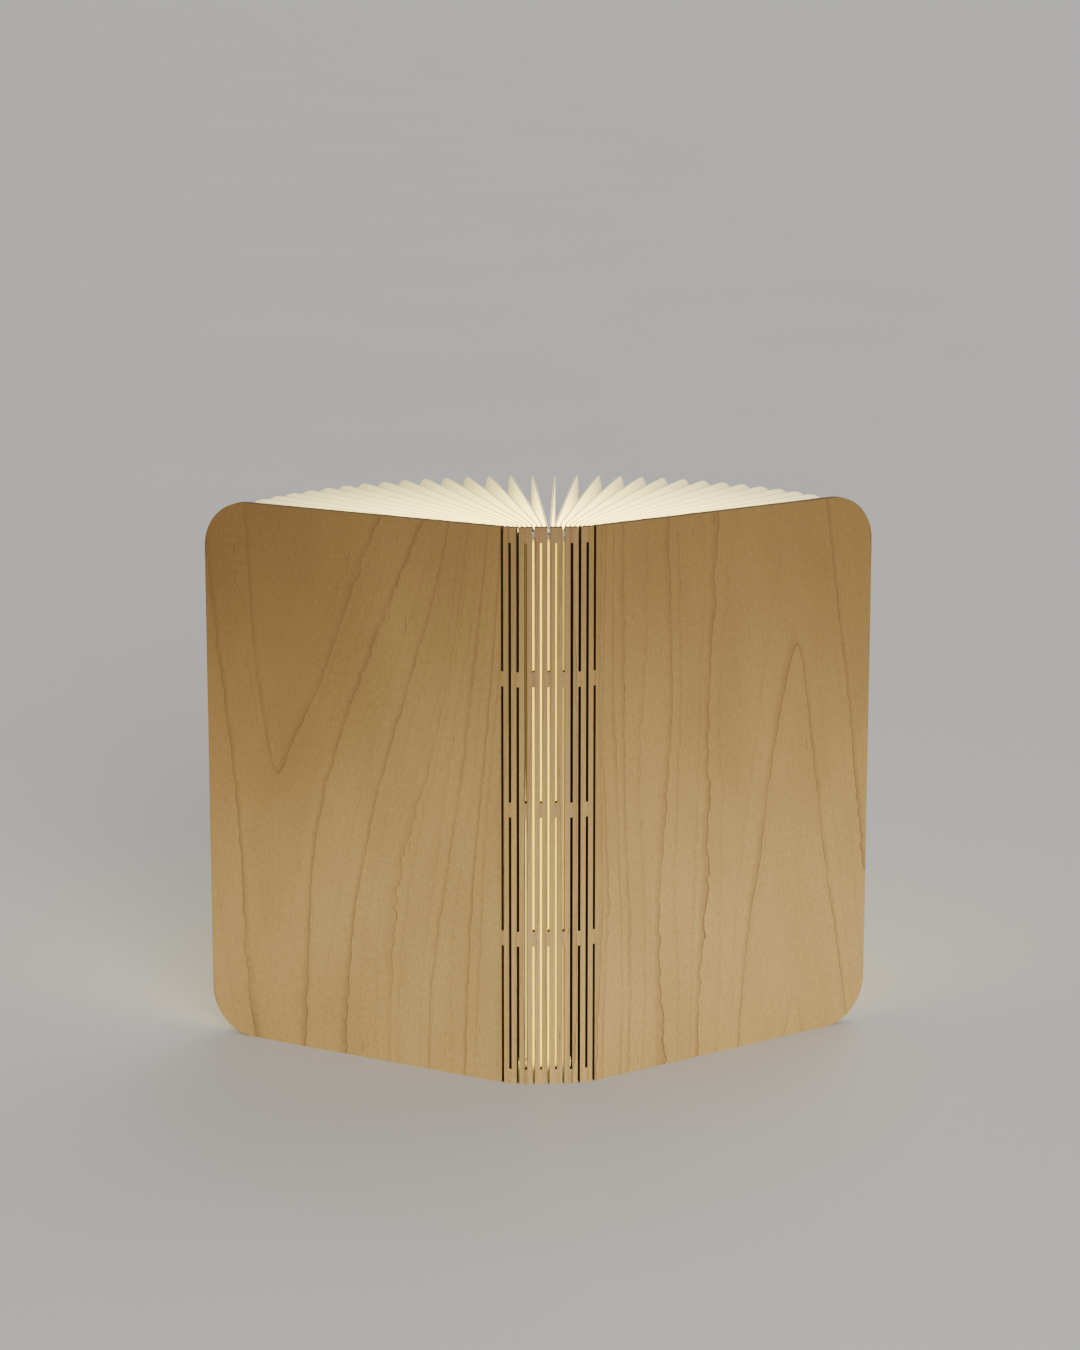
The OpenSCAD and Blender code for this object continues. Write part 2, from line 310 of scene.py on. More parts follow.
ringLook = {
    "perMm": 0.05277,        # away from the spine
    "shift": 0.138,          # puts a ring's turn at each crown
    "heart": -2.0,           # the middle between the two crowns
    "crownSpan": 110.5,
    "crownRadius": 3.5,      # how round a ring turns there
    "crownCalm": 18.0,       # how far from a crown the lines run smooth
    "crowd": 30.0,           # how far the lines draw together at the spine
    "crowdWidth": 24.0,
    "sweep": 0.00125,        # how the left cover's lines bend over, per mm of height squared
    "sweepBand": (10.0, -50.0),
    "leftOuter": (-88.0, -128.0),   # where the outermost lines lean out
    "rightOuter": (60.0, 115.0),
    "leftTilt": 0.10,        # how far they lean
    "rightTilt": 0.14,
    "wander": 1.3,           # how far a line wanders, in rings
    "jagged": 0.19,          # how far it is jagged, in rings
    "jaggedLeast": 0.018,
    "leastSteep": 0.2,
    "insideV": (8.2, 8.4),   # rings, inside which there is hardly a line
    "keptInV": 0.1,
    "insideArch": (-6.4, -6.2),
    "keptInArch": 0.6,
}

lineLook = {
    "width": 0.5,
    "softWidth": 6,          # of the shade beside a line, in line widths
    "softShare": 0.36,
    "weakest": 0.6,
    "chanceBand": (0.1, 0.7),
    "brokenBand": (0.3, 0.6),
    "seed": 3.1,
    "fineSeed": 11.7,
    "fineTimes": 2.3,        # fine lines in a ring
    "fineWidth": 1.5,        # in line widths
    "fineAway": 0.34,        # their strength away from the crowns
    "fineBeside": 0.35,      # and beside the spine
    "fineRight": 0.28,       # and more right of the spine
    "fineRightFrom": (12.0, 20.0),
    "fineRightTo": (85.0, 50.0),
}

grainNoises = {
    "slow": {"stretch": (1.0, 0.12), "seed": 0.0, "grain": (0.045, 1.0, 0.55)},
    "jag": {"stretch": (0.3, 0.8), "seed": 7.0, "grain": (0.16, 4.0, 0.6)},
    "broken": {"stretch": (0.12, 0.045), "grain": (1.0, 2.0, 0.55)},
    "fibre": {"stretch": (3.2, 0.09), "seed": 0.0, "grain": (1.0, 4.0, 0.65)},
    "fleck": {"stretch": (0.9, 0.09), "seed": 4.0, "grain": (1.0, 1.0, 0.55)},
    "cloud": {"stretch": (1.0, 0.4), "seed": 2.0, "grain": (0.03, 2.0, 0.55)},
    "figure": {"stretch": (0.05, 0.3), "seed": 9.0, "grain": (1.0, 2.0, 0.55)},
    "mottle": {"stretch": (0.9, 0.5), "seed": 5.0, "grain": (1.0, 4.0, 0.7)},
}

toneSteps = (
    # a noise, its band, the least and most of the colour, and the colour
    ("cloud", (0.3, 0.75), (0.12, 0.38), "Warm"),
    ("fibre", (0.42, 0.75), (0.0, 0.26), "Warm"),
    ("mottle", (0.5, 0.7), (0.0, 0.30), "Warm"),
    ("mottle", (0.48, 0.3), (0.0, 0.35), "Bright"),
    ("figure", (0.6, 0.8), (0.0, 0.22), "Pale"),
    ("fleck", (0.735, 0.78), (0.0, 0.42), "Line"),
)


# noise that is drawn out along the sheet; grain holds its scale, detail and roughness
def stretched(tree, across, up, look):
    wide, high = look["stretch"]
    place = joined(tree, times(tree, across, wide), times(tree, up, high), look["seed"])
    return noise(tree, place, *look["grain"])


# the length of the slope from a crown, rounded off at the crown itself
def rounded(tree, fromCrown, radius):
    return maths(tree, "SQRT", plus(tree, times(tree, fromCrown, fromCrown), radius * radius))


# The rings are level lines of one field over the flat sheet. It has a ridge on the left cover
# and a hollow on the right one, where the lines close to a V and to an arch.
def ringField(tree, across, up, look):
    offset = less(tree, across, look["heart"])
    fromCrown = less(tree, maths(tree, "ABSOLUTE", offset), look["crownSpan"])
    away = maths(tree, "ABSOLUTE", fromCrown)
    reach = rounded(tree, fromCrown, look["crownRadius"])
    steep = maths(tree, "DIVIDE", away, reach)
    rough = maths(tree, "DIVIDE", away, rounded(tree, fromCrown, look["crownCalm"]))
    crowd = maths(tree, "TANH", maths(tree, "DIVIDE", across, look["crowdWidth"]))
    top = math.hypot(look["crownSpan"], look["crownRadius"])
    hill = times(tree, maths(tree, "SIGN", offset), less(tree, reach, top))
    hill = less(tree, hill, times(tree, crowd, look["crowd"]))
    swept = times(tree, spread(tree, across, look["leftOuter"][::-1]),
                  spread(tree, across, look["sweepBand"], 0.0, look["sweep"]))
    tilt = plus(tree, spread(tree, across, look["leftOuter"], 0.0, look["leftTilt"]),
                spread(tree, across, look["rightOuter"], 0.0, look["rightTilt"]))
    rise = times(tree, up, plus(tree, tilt, times(tree, swept, up)))
    path = plus(tree, hill, rise)    # the same all along one ring's line
    slow = less(tree, stretched(tree, path, up, grainNoises["slow"]), 0.5)
    jag = less(tree, stretched(tree, across, up, grainNoises["jag"]), 0.5)
    field = plus(tree, times(tree, path, look["perMm"]), look["shift"])
    field = plus(tree, field, times(tree, rough, times(tree, slow, look["wander"])))
    jagged = plus(tree, times(tree, rough, look["jagged"]), look["jaggedLeast"])
    field = plus(tree, field, times(tree, jag, jagged))
    beside = less(tree, 1.0, times(tree, crowd, crowd))      # the spine
    slope = plus(tree, times(tree, beside, look["crowd"] / look["crowdWidth"]),
                 maths(tree, "MAXIMUM", steep, look["leastSteep"]))
    slope = times(tree, slope, look["perMm"])                # rings in a millimetre across
    return field, slope, rough, beside


def ringLines(tree, across, up, rings, slope, clear, width, seed):
    look = lineLook
    ring = maths(tree, "FLOOR", rings)
    away = maths(tree, "DIVIDE", less(tree, rings, ring), slope)   # from the line, in mm
    chance = newNode(tree, "ShaderNodeTexWhiteNoise", {"W": plus(tree, ring, seed)},
                     noise_dimensions="1D").outputs["Value"]
    broken = stretched(tree, across, up, {**grainNoises["broken"], "seed": seed})
    own = times(tree, spread(tree, chance, look["chanceBand"], look["weakest"]),
                spread(tree, broken, look["brokenBand"], look["weakest"]), clear)
    core = spread(tree, away, (width, 0.0))
    soft = times(tree, spread(tree, away, (width * look["softWidth"], 0.0)), look["softShare"])
    return times(tree, own, maths(tree, "MAXIMUM", core, soft))


def grainLines(tree, across, up):
    field, slope, rough, beside = ringField(tree, across, up, ringLook)
    clear = times(tree, spread(tree, field, ringLook["insideV"], 1.0, ringLook["keptInV"]),
                  spread(tree, field, ringLook["insideArch"], ringLook["keptInArch"], 1.0))
    look = lineLook
    main = ringLines(tree, across, up, field, slope, clear, look["width"], look["seed"])
    fine = ringLines(tree, across, up, times(tree, field, look["fineTimes"]), slope, clear,
                     look["width"] * look["fineWidth"], look["fineSeed"])
    inner = times(tree, spread(tree, across, look["fineRightFrom"]),
                  spread(tree, across, look["fineRightTo"], 0.0, look["fineRight"]))
    amount = plus(tree, inner, plus(tree, times(tree, rough, look["fineAway"]),
                                    times(tree, beside, look["fineBeside"])))
    return maths(tree, "MAXIMUM", main, times(tree, amount, fine))


def makeGrain(look):
    tree, given, out = newGroup("sheetGrain", [
        ("Sheet", vector, (0, 0, 0)), ("Pale", colour, look["pale"]),
        ("Warm", colour, look["warm"]), ("Line", colour, look["line"]),
        ("Line strength", value, 1.0)], surface)
    parts = parted(tree, given["Sheet"])
    across, up = parts["X"], parts["Y"]
    noises = {name: stretched(tree, across, up, grainNoises[name])
              for name in ("fibre", "fleck", "cloud", "figure", "mottle")}
    colours = {"Pale": given["Pale"], "Warm": given["Warm"], "Line": given["Line"],
               "Bright": look["bright"]}
    tone = given["Pale"]
    for name, band, (least, most), step in toneSteps:
        tone = blendColour(tree, spread(tree, noises[name], band, least, most), tone,
                           colours[step])
    # painted shade: darker towards the top
    tone = blendColour(tree, spread(tree, up, look["topBand"]), tone, look["paintedTopShade"],
                       "MULTIPLY")
    # painted shade: darker towards the covers' outer edges, the left more, and over most of the
    # right cover
    right = maths(tree, "MAXIMUM",
                  spread(tree, across, look["rightBand"], 0.0, look["rightShare"]),
                  spread(tree, across, look["rightEdgeBand"], 0.0, look["rightEdgeShare"]))
    outer = maths(tree, "MAXIMUM", spread(tree, across, look["leftBand"]), right)
    outer = times(tree, outer, spread(tree, up, look["lowBand"], look["lowShare"]))
    tone = blendColour(tree, outer, tone, look["paintedOuterShade"], "MULTIPLY")
    lines = times(tree, grainLines(tree, across, up), given["Line strength"])
    tone = blendColour(tree, lines, tone, given["Line"])
    plug(tree, tone, out["Color"])
    plug(tree, spread(tree, noises["fibre"], look["fibreBand"], *look["roughness"]),
         out["Roughness"])
    height = less(tree, times(tree, noises["fibre"], look["fibreHeight"]),
                  times(tree, lines, look["lineDepth"]))
    plug(tree, height, out["Height"])
    return tree


grainGroup = makeGrain(woodLook)


def makeWoodFace(look):
    material, _, shader = groupMaterial(
        "mapleFace", grainGroup, ("Sheet", sheetPlace), {"Line strength": look["lineStrength"]},
        look["bump"])
    shader.inputs["Coat Weight"].default_value = look["coat"]
    shader.inputs["Coat Roughness"].default_value = look["coatRoughness"]
    return material


edgeLook = {
    "pale": (0.42, 0.25, 0.09, 1),
    "warm": (0.28, 0.15, 0.045, 1),
    "line": (0.08, 0.036, 0.013, 1),
    # laser scorch on all edges, and painted shade on the walls of the slots
    "scorchAndShade": (0.030, 0.015, 0.008, 1),
    "sootGrain": 900.0,
    "sootBand": (0.35, 0.7),
    "soot": (0.05, 0.45),
    "slotField": (17.4, 16.8),      # half as wide as the field of slots
    "stripEnd": (104.98, 104.8),    # from mid height
    "roughnessBand": (0.3, 0.7),
    "roughness": (0.62, 0.8),
    "bump": (0.0001, 0.5),
    "ease": 0.05,                   # width of the eased edges
    "faceSquare": 0.6,              # how square to the sheet a face of the sheet is at least
    "weld": 1e-6,                   # metres
    "flat": 1,                      # faces that meet at less are one
}


def makeScorchedAndShadedEdge(look):
    material, tree, shader = newMaterial("scorchedAndShadedEdge")
    sheet = sheetPlace(tree)
    grain = useGroup(tree, grainGroup, {
        "Sheet": sheet, "Pale": look["pale"], "Warm": look["warm"], "Line": look["line"]})
    soot = noise(tree, objectPlace(tree), look["sootGrain"])
    tone = blendColour(tree, spread(tree, soot, look["sootBand"], *look["soot"]), grain["Color"],
                       look["scorchAndShade"])
    # the sheet's outer edges are browned by scorch, and the walls of the narrow slots get painted
    # shade, nearly black, over it
    parts = parted(tree, sheet)
    fromMiddle = maths(tree, "ABSOLUTE", parts["X"])
    fromMid = maths(tree, "ABSOLUTE", less(tree, parts["Y"], lamp["midHeight"]))
    slotShade = times(tree, spread(tree, fromMiddle, look["slotField"]),
                     spread(tree, fromMid, look["stripEnd"]))
    tone = blendColour(tree, slotShade, tone, look["scorchAndShade"])
    plug(tree, tone, shader.inputs["Base Color"])
    plug(tree, spread(tree, soot, look["roughnessBand"], *look["roughness"]),
         shader.inputs["Roughness"])
    bumped(tree, shader, soot, *look["bump"])
    return material


woodFace, woodEdge = makeWoodFace(woodLook), makeScorchedAndShadedEdge(edgeLook)


# the CAD solid's own faces, on flat-sheet coordinates, with eased edges
def woodPiece(node, body, side, line, look):
    piece = bpy.data.objects.new(node + "_wood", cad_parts[node].data.copy())
    bpy.context.scene.collection.objects.link(piece)
    mesh = piece.data
    mesh.materials.clear()
    mesh.materials.append(woodFace)
    mesh.materials.append(woodEdge)
    origin = hingeAt(line - 1) if line else Vector((0, 0))
    turn = lamp["coverFold"] * line / lamp["hingeLines"]
    start = lamp["firstLine"] + (line - 1) * lamp["slotPitch"] if line else 0
    shape = bmesh.new()
    shape.from_mesh(mesh)
    bmesh.ops.remove_doubles(shape, verts=shape.verts, dist=look["weld"])
    bmesh.ops.dissolve_limit(shape, angle_limit=math.radians(look["flat"]), verts=shape.verts,
                             edges=shape.edges)
    for old in list(shape.loops.layers.uv):
        shape.loops.layers.uv.remove(old)
    layer = shape.loops.layers.uv.new("sheet")
    for face in shape.faces:
        normal = turned((side * face.normal.x, face.normal.y), -turn)
        face.material_index = 0 if abs(normal.y) > look["faceSquare"] else 1
        face.smooth = False
        for loop in face.loops:
            flat = Vector((side * loop.vert.co.x / mm, loop.vert.co.y / mm)) - origin
            flat = turned(flat, -turn)
            loop[layer].uv = (side * (start + flat.x) * mm, loop.vert.co.z)
    shape.to_mesh(mesh)
    shape.free()
    ease = piece.modifiers.new("edge", "BEVEL")
    ease.width = look["ease"] * mm
    ease.segments = 2
    ease.limit_method = "ANGLE"
    ease.angle_limit = math.radians(creaseAngle)
    ease.material = 0
    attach(piece, body)
    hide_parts(node)


woodPiece("spine_plate", "root", 1, 0, edgeLook)
for side, sign in (("left", -1), ("right", 1)):
    for line in range(1, lamp["hingeLines"]):
        strip = "%s_strip_%d" % (side, line)
        woodPiece(strip, strip, sign, line, edgeLook)
    woodPiece(side + "_cover", side + "_cover", sign, lamp["hingeLines"], edgeLook)
print("wood made")


paperLook = {
    "plyOffset": 0.21,      # ply's middle from the leaf's middle
    "plyThickness": 0.2,
    "gutter": 3.2,          # where they part from their plane at the root
    "gutterDip": 0.75,
    "rows": 7,
    "hem": 9.0,             # glued to the right end paper
    "hemOffset": 0.30,
    "tipGap": 0.02,         # inside the CAD leaf's tip
    "tipHalfGap": 0.005,    # between the two plies there
    "shoulder": (0.18, 0.05),       # back from the tip, and in from the ply's offset
    "cornerClear": 0.4,
    "reaches": (95, 70, 45, 30, 20),
    "curveSteps": 10,
    "blendShare": 0.3,      # of the gap between two leaves, on each side of its middle
}

fibreLook = {
    "sheet": (0.88, 0.84, 0.62, 1),
    "shade": (0.80, 0.75, 0.51, 1),
    # scale per mm, detail and roughness
    "tooth": (2.6, 4.0, 0.6),
    "felt": (0.25, 3.0, 0.55),
    "cockle": (0.035, 1.0, 0.55),
    "share": 0.5,
    "shadeBand": (0.42, 0.66),
    "shadeMost": 0.7,
    "feltBand": (0.3, 0.7),
    "roughness": (0.72, 0.86),
    "toothHeight": 0.2,
    "bump": (0.0003, 0.35),
    "endSheet": (0.86, 0.85, 0.82, 1),      # the end papers
    "endShade": (0.77, 0.75, 0.71, 1),
    "endBump": (0.0002, 0.3),
    "paintedShadeSheet": (0.03, 0.025, 0.02, 1),    # painted shade: the folds' inner skin, which is in shade, is coloured near-black
    "backShade": (0.018, 0.015, 0.012, 1),
}

# the module's light, which comes through the paper and is strongest near the spine
pageGlow = {
    "near": (1.0, 0.78, 0.18, 1),
    "far": (1.0, 0.87, 0.30, 1),
    "none": (0.02, 0.019, 0.016, 1),
    "strength": 3.6,
    "reach": (12.0, 140.0),
    "fall": 1.3,
    "warmFall": 2.0,
    "lowBand": (0.0, 30.0),
    "low": 0.6,
    "highBand": (180.0, 210.0),
    "high": 0.85,
    "footReach": (18.0, 30.0),      # the foot of the root, seen through the slots, is dark
    "footHeight": (9.0, 16.0),
    "foot": 0.04,
    "side": 8.1,                    # how far left of the middle the module's side light falls
    "sideBand": (1.1, 0.5),
    "sideStrength": 1.6,
    "sideHeight": (0.085, 0.12),    # metres
    "sideHigh": 0.12,
}


def makeFibre(look):
    tree, given, out = newGroup("paperFibre", [
        ("Place", vector, (0, 0, 0)), ("Sheet", colour, look["sheet"]),
        ("Shade", colour, look["shade"])], surface)
    tooth, felt, cockle = (noise(tree, given["Place"], *look[name])
                           for name in ("tooth", "felt", "cockle"))
    mask = plus(tree, times(tree, tooth, look["share"]), times(tree, felt, look["share"]))
    mask = spread(tree, mask, look["shadeBand"], 0.0, look["shadeMost"])
    plug(tree, blendColour(tree, mask, given["Sheet"], given["Shade"]), out["Color"])
    plug(tree, spread(tree, felt, look["feltBand"], *look["roughness"]), out["Roughness"])
    plug(tree, plus(tree, times(tree, tooth, look["toothHeight"]), cockle), out["Height"])
    return tree


fibreGroup = makeFibre(fibreLook)


def makePagePaper(glow):
    material, tree, shader = groupMaterial(
        "pagePaper", fibreGroup, ("Place", sheetPlace), {}, fibreLook["bump"])
    parts = parted(tree, sheetPlace(tree))
    near = spread(tree, parts["X"], glow["reach"], 1.0, 0.0, smooth=False)
    ends = times(tree, spread(tree, parts["Y"], glow["lowBand"], glow["low"]),
                 spread(tree, parts["Y"], glow["highBand"], 1.0, glow["high"]))
    foot = maths(tree, "MAXIMUM", spread(tree, parts["X"], glow["footReach"], glow["foot"]),
                 spread(tree, parts["Y"], glow["footHeight"], glow["foot"]))
    light = times(tree, maths(tree, "POWER", near, glow["fall"]), times(tree, ends, foot))
    tone = blendColour(tree, maths(tree, "POWER", near, glow["warmFall"]), glow["far"],
                       glow["near"])
    plug(tree, blendColour(tree, light, glow["none"], tone), shader.inputs["Emission Color"])
    shader.inputs["Emission Strength"].default_value = glow["strength"]
    return material


def makeShadedPaperBack(glow):
    # painted shade, near-black, on the folds' inner skin, with the module's side light painted on
    # as a glow
    material, tree, shader = groupMaterial(
        "shadedPaperBack", fibreGroup, ("Place", sheetPlace),
        {"Sheet": fibreLook["paintedShadeSheet"], "Shade": fibreLook["backShade"]}, fibreLook["bump"])
    parts = parted(tree, objectPlace(tree))
    off = maths(tree, "ABSOLUTE", plus(tree, parts["X"], glow["side"] * mm))
    lit = times(tree, spread(tree, off, [edge * mm for edge in glow["sideBand"]]),
                spread(tree, parts["Z"], glow["sideHeight"], 1.0, glow["sideHigh"]))
    plug(tree, blendColour(tree, lit, black, glow["near"]), shader.inputs["Emission Color"])
    shader.inputs["Emission Strength"].default_value = glow["sideStrength"]
    return material


def makeEndPaper():
    return groupMaterial(
        "endPaper", fibreGroup, ("Place", lambda tree: inMillimetres(tree, objectPlace(tree))),
        {"Sheet": fibreLook["endSheet"], "Shade": fibreLook["endShade"]},
        fibreLook["endBump"])[0]


pagePaper, shadedPaperBack, endPaper = makePagePaper(pageGlow), makeShadedPaperBack(pageGlow), makeEndPaper()


# reach and offset of a ply's middle line, from the tip towards the root
def plyLine(look):
    tip, radius = lamp["pageTip"] - look["tipGap"], lamp["tipRadius"]
    back, inwards = look["shoulder"]
    line = [(tip, look["plyThickness"] / 2 + look["tipHalfGap"]),
            (tip - back, look["plyOffset"] - inwards)]
    steps = look["curveSteps"]
    for step in range(1, steps + 1):
        reach = tip - radius + radius * math.cos(math.radians(90 * step / steps))
        if reach < tip - look["cornerClear"]:
            line.append((reach, look["plyOffset"]))
    for reach in look["reaches"] + (lamp["pageRoot"] + look["gutter"],):
        line.append((reach, look["plyOffset"]))
    return line


def curve(points, steps):
    made = []
    for step in range(1, steps):
        t = step / steps
        level = list(points)
        while len(level) > 1:
            level = [a.lerp(b, t) for a, b in zip(level, level[1:])]
        made.append(level[0])
    return made


def paperSheet(name, stations, side, look):
    # stations are (point in plan, reach), from one free edge of the ply to the other
    shape = bmesh.new()
    layer = shape.loops.layers.uv.new("sheet")
    half = look["plyThickness"] / 2
    skins = []
    for turn in (1, -1):
        columns = []
        for index, (point, reach) in enumerate(stations):
            before = stations[max(index - 1, 0)][0]
            after = stations[min(index + 1, len(stations) - 1)][0]
            along = (after - before).normalized()
            place = point + Vector((-along.y, along.x)) * half * turn
            low = lamp["pageLow"] + cornerLoss(reach)
            high = lamp["pageHigh"] - cornerLoss(reach)
            column = []
            for row in range(look["rows"] + 1):
                height = low + (high - low) * row / look["rows"]
                column.append((shape.verts.new((side * place.x * mm, place.y * mm, height * mm)),
                               (reach * mm, height * mm)))
            columns.append(column)
        skins.append(columns)

    def face(corners, back=False):
        made = shape.faces.new([corner[0] for corner in corners])
        made.smooth = True
        made.material_index = int(back)
        for loop, corner in zip(made.loops, corners):
            loop[layer].uv = corner[1]

    # the second skin faces a leaf's own inside and the spine, and takes the painted shade
    for columns, second in zip(skins, (False, True)):
        for left, right in zip(columns, columns[1:]):
            for row in range(look["rows"]):
                corners = [left[row], left[row + 1], right[row + 1], right[row]]
                face(corners[::-1] if second else corners, back=second)
    rim = ([column[0] for column in skins[0]], [column[0] for column in skins[1]])
    top = ([column[-1] for column in skins[0]], [column[-1] for column in skins[1]])
    for (outer, inner), flip in ((rim, False), (top, True)):
        for index in range(len(outer) - 1):
            corners = [outer[index], outer[index + 1], inner[index + 1], inner[index]]
            face(corners[::-1] if flip else corners)
    for end, flip in ((0, True), (-1, False)):
        outer, inner = skins[0][end], skins[1][end]
        for row in range(look["rows"]):
            corners = [outer[row], outer[row + 1], inner[row + 1], inner[row]]
            face(corners if flip else corners[::-1])
    bmesh.ops.recalc_face_normals(shape, faces=shape.faces)
    mesh = bpy.data.meshes.new(name)
    shape.to_mesh(mesh)
    shape.free()
    mesh.materials.append(pagePaper)
    mesh.materials.append(shadedPaperBack)
    mesh.set_sharp_from_angle(angle=math.radians(creaseAngle))
    piece = bpy.data.objects.new(name, mesh)
    bpy.context.scene.collection.objects.link(piece)
    return piece


def gutterStations(leaf, look, far):
    # the valley fold from one leaf's outward ply to what lies beyond it, at this offset
    root = lamp["pageRoot"]
    offset = look["plyOffset"]
    bend = root + look["gutter"]
    handle = root - look["gutterDip"]
    controls = [leafPoint(leaf, offset, bend), leafPoint(leaf, offset, handle),
                leafPoint(leaf + 1, far, handle), leafPoint(leaf + 1, far, bend)]
    steps = look["curveSteps"]
    made = []
    for step, point in enumerate(curve(controls, steps), 1):
        t = step / steps
        reach = (bend * ((1 - t) ** 3 + t ** 3)) + 3 * handle * t * (1 - t)
        made.append((point, max(reach, root)))
    return made


def crossFold(piece, leaf, look, beyond):
    # near and far lie inside the gap between the plies; the piece's transform is baked into its
    # mesh
    bend = lamp["pageRoot"] + look["gutter"]
    near, far = leafPoint(leaf, look["plyOffset"], bend), leafPoint(leaf + 1, beyond, bend)
    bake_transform(piece)


def valley(side, leaf, look):
    line = plyLine(look)
    stations = [(leafPoint(leaf, offset, reach), reach) for reach, offset in line]
    stations += gutterStations(leaf, look, -look["plyOffset"])
    stations += [(leafPoint(leaf + 1, -offset, reach), reach) for reach, offset in line[::-1]]
    piece = paperSheet("%s_page_fold_%d" % (side, leaf + 1), stations,
                       -1 if side == "left" else 1, look)
    crossFold(piece, leaf, look, -look["plyOffset"])
    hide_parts("%s_leaf_%d" % (side, leaf + 1))
    if side == "right" and leaf == 0:
        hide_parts("centre_leaf")


def lastPly(side, leaf, look):
    # the outermost ply: the left one lies on its cover, and the right one turns at the root
    # and ends as a hem on the right end paper
    stations = [(leafPoint(leaf, offset, reach), reach) for reach, offset in plyLine(look)]
    if side == "right":
        stations += gutterStations(leaf, look, look["hemOffset"])
        for along in (look["gutter"], look["gutter"] + look["hem"]):
            reach = lamp["pageRoot"] + along
            stations.append((leafPoint(leaf + 1, look["hemOffset"], reach), reach))
    piece = paperSheet(side + "_last_ply", stations, -1 if side == "left" else 1, look)
    if side == "right":
        crossFold(piece, leaf, look, look["hemOffset"])
    else:
        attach(piece, leafBody(side, leaf))


for side, leaves in (("left", lamp["foldSteps"]), ("right", lamp["foldSteps"] - 1)):
    for leaf in range(leaves):
        valley(side, leaf, paperLook)
    lastPly(side, leaves, paperLook)
print("paper made")


unevenLook = {
    "fineTimes": 9.0,       # finer than the coarse marks
    "coarseShare": 0.65,
    "fineShare": 0.35,
    "band": (0.36, 0.66),
    "amount": 0.8,
    "bumpStrength": 0.6,
}


def makeUneven(look):
    tree, given, out = newGroup("unevenFinish", [
        ("Base", colour, (0.8, 0.8, 0.8, 1)), ("Marks", colour, (0.6, 0.6, 0.6, 1)),
        ("Scale", value, 60.0), ("Stretch", value, 1.0), ("Amount", value, 0.3),
        ("Dull", value, 0.5), ("Shiny", value, 0.35)], surface)
    parts = parted(tree, objectPlace(tree))
    drawn = joined(tree, parts["X"], parts["Y"], times(tree, parts["Z"], given["Stretch"]))
    coarse = noise(tree, drawn, given["Scale"], 3.0)
    fine = noise(tree, drawn, times(tree, given["Scale"], look["fineTimes"]), 2.0)
    mask = spread(tree, plus(tree, times(tree, coarse, look["coarseShare"]),
                             times(tree, fine, look["fineShare"])), look["band"])
    plug(tree, blendColour(tree, times(tree, mask, given["Amount"]), given["Base"],
                           given["Marks"]), out["Color"])
    plug(tree, spread(tree, mask, (0.0, 1.0), given["Shiny"], given["Dull"], smooth=False),
         out["Roughness"])
    plug(tree, fine, out["Height"])
    return tree


unevenGroup = makeUneven(unevenLook)

# bump is in metres, and scale in marks to the metre
finishes = {
    "frosted_plastic": {"base": (0.72, 0.70, 0.66, 1), "marks": (0.62, 0.59, 0.54, 1),
                        "scale": 90, "dull": 0.62, "shiny": 0.45, "bump": 0.00003},
    "tape": {"base": (0.22, 0.18, 0.12, 1), "marks": (0.12, 0.10, 0.07, 1),
             "scale": 140, "dull": 0.6, "shiny": 0.4, "bump": 0.00002},
    "rail_metal": {"base": (0.62, 0.63, 0.64, 1), "marks": (0.45, 0.46, 0.47, 1), "metal": 1,
                   "scale": 500, "stretch": 0.03, "dull": 0.45, "shiny": 0.28, "bump": 0.00001},
    "magnet": {"base": (0.60, 0.60, 0.58, 1), "marks": (0.42, 0.42, 0.41, 1), "metal": 1,
               "scale": 300, "dull": 0.34, "shiny": 0.18, "bump": 0.00001},
    "socket_metal": {"base": (0.56, 0.56, 0.55, 1), "marks": (0.38, 0.38, 0.38, 1), "metal": 1,
                     "scale": 400, "dull": 0.4, "shiny": 0.22, "bump": 0.00001},
    "light_board": {"base": (0.82, 0.82, 0.79, 1), "marks": (0.70, 0.70, 0.66, 1),
                    "scale": 200, "dull": 0.5, "shiny": 0.3, "bump": 0.00001},
    "control_board": {"base": (0.02, 0.11, 0.05, 1), "marks": (0.04, 0.19, 0.08, 1),
                      "scale": 350, "dull": 0.42, "shiny": 0.25, "bump": 0.00003},
    "light_chip": {"base": (0.85, 0.66, 0.15, 1), "marks": (0.72, 0.50, 0.08, 1),
                   "scale": 500, "dull": 0.5, "shiny": 0.35, "bump": 0.00002},
    "battery": {"base": (0.44, 0.45, 0.47, 1), "marks": (0.30, 0.31, 0.33, 1),
                "scale": 160, "dull": 0.45, "shiny": 0.28, "bump": 0.00005},
    "lead": {"base": (0.30, 0.02, 0.015, 1), "marks": (0.18, 0.012, 0.01, 1),
             "scale": 300, "dull": 0.5, "shiny": 0.35, "bump": 0.00002},
    "sensor": {"base": (0.018, 0.018, 0.02, 1), "marks": (0.05, 0.05, 0.055, 1),
               "scale": 500, "dull": 0.6, "shiny": 0.4, "bump": 0.00002},
}

moduleGlow = {
    "slots": ("frosted_plastic", "tape"),
    "middle": -2.75,            # the slot left of the middle one is the brightest
    "halfWidth": 11.0,
    "bright": (1.0, 0.72, 0.0, 1),
    "rim": (0.40, 0.24, 0.0, 1),
    "rimBand": (0.0, 0.3),
    "strength": 2.9,
    "sides": 0.15,              # how much dimmer the housing's sides are
    # heights and depth in metres
    "lowEnd": (0.003, 0.008),
    "highEnd": (0.2065, 0.2035),
    "frontDepth": (0.0035, 0.0025),
}


